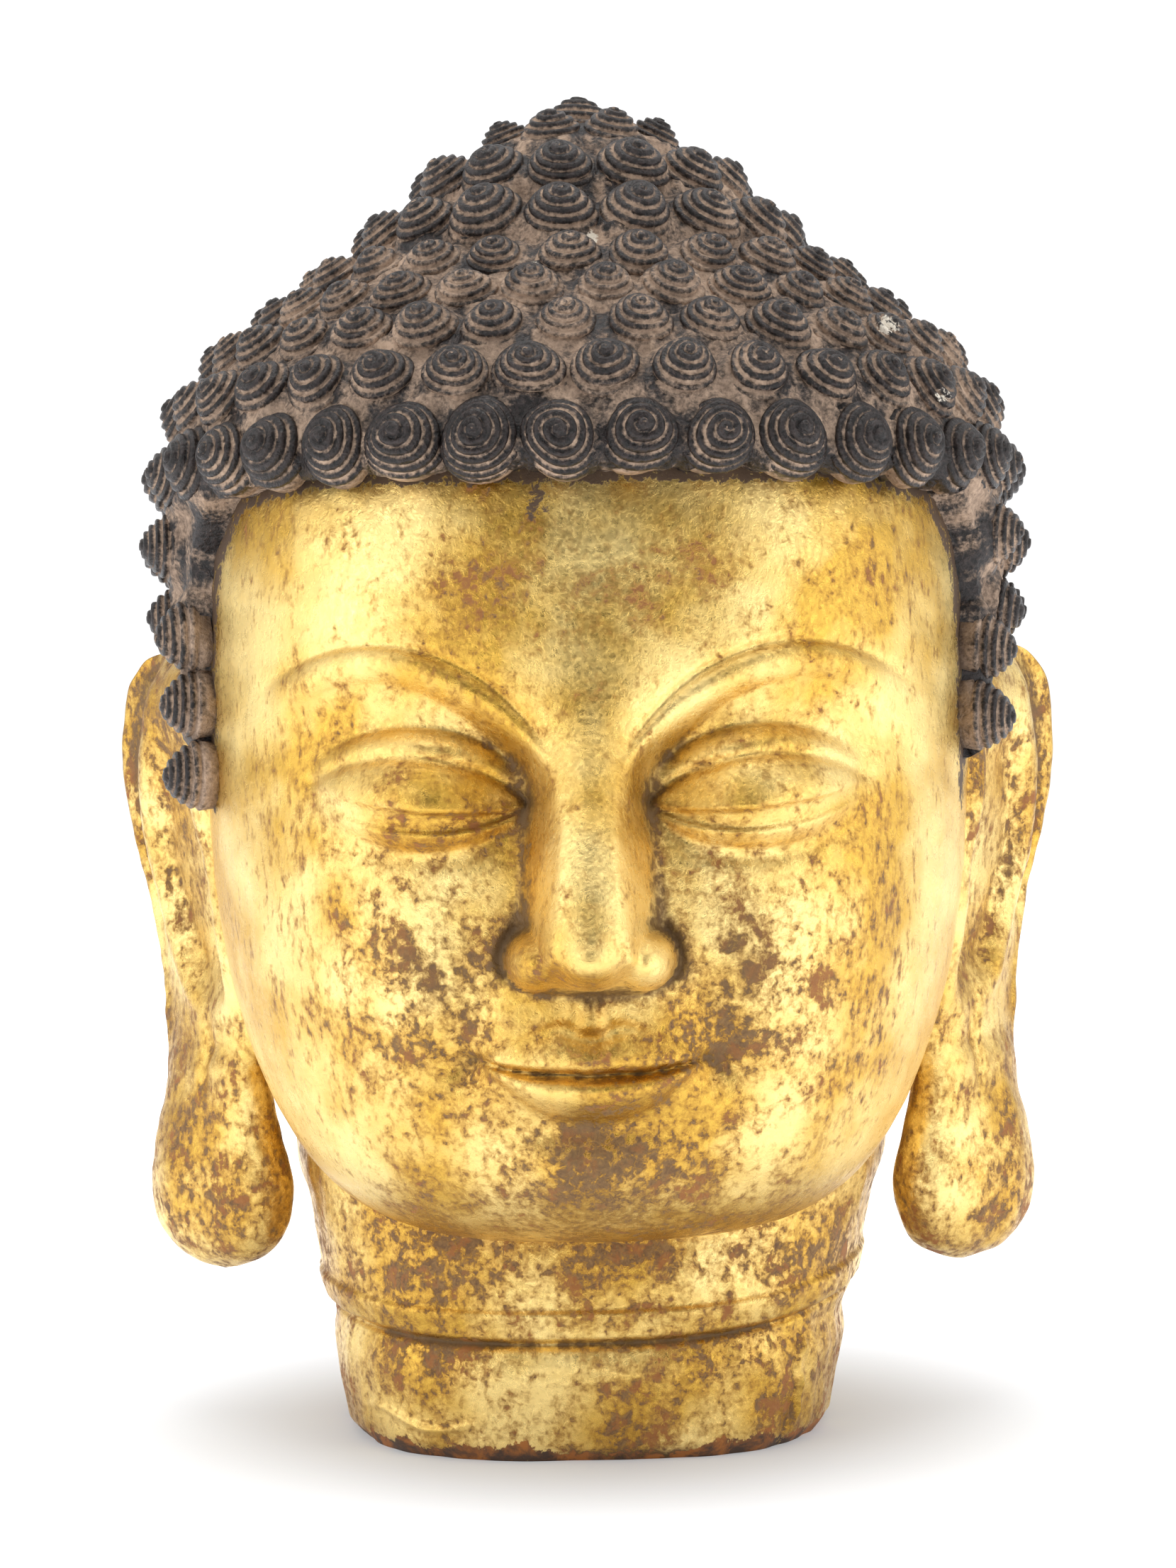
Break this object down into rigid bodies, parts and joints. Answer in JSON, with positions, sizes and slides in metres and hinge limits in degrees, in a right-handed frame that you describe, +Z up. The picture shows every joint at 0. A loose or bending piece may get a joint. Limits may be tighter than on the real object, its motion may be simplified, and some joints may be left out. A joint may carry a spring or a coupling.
{
  "type": "buddha head sculpture",
  "caption": "Carved and gilded buddha head with snail-curl hair, crown bump and long ear lobes, cut flat under the neck to stand on a shelf or plinth.",
  "frame": {"origin": "on the flat underside of the neck, below the middle of the face", "axes": "+Z up to the crown, -Y the way the face looks, +X to a viewer's right as they face the head"},
  "size_m": [0.3048, 0.3286, 0.42],
  "materials": {
    "gilded_wood": "worn gold leaf on the skin, worn dark paint on the hair"
  },
  "bodies": {
    "root": {"buddha_head": "gilded_wood"}
  },
  "joints": []
}
